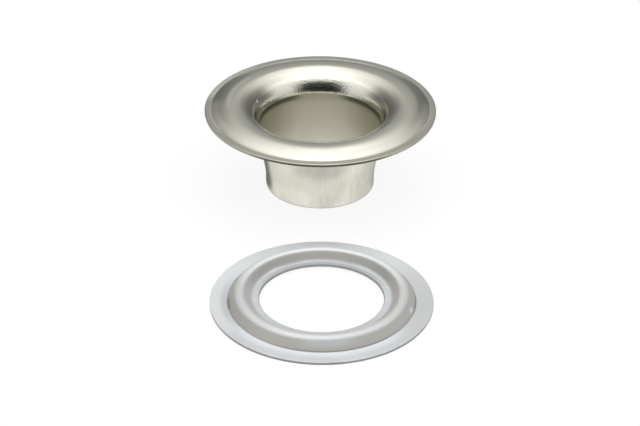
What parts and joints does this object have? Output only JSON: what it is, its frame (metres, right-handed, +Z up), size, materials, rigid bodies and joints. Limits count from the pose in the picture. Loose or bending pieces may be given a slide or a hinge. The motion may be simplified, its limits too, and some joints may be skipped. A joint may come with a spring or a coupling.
{
  "type": "grommet eyelet",
  "caption": "Metal grommet for cloth: an eyelet with a domed flange and a flared open barrel, and the flat washer with a raised bead that the barrel is clinched into.",
  "frame": {"origin": "on the eyelet's axis, in the plane of the floor that the barrel's end and the washer's brim rest on", "axes": "+Z up along the eyelet's axis, from the barrel's end to the flange; -Y from the eyelet to the washer, which lies in front of it; +X to the right seen from the washer's side"},
  "size_m": [0.0232, 0.0446, 0.009],
  "materials": {
    "nickel_plated_sheet": "gloss",
    "zinc_plated_sheet": "satin"
  },
  "bodies": {
    "root": {"eyelet": "nickel_plated_sheet", "washer": "zinc_plated_sheet"}
  },
  "joints": []
}
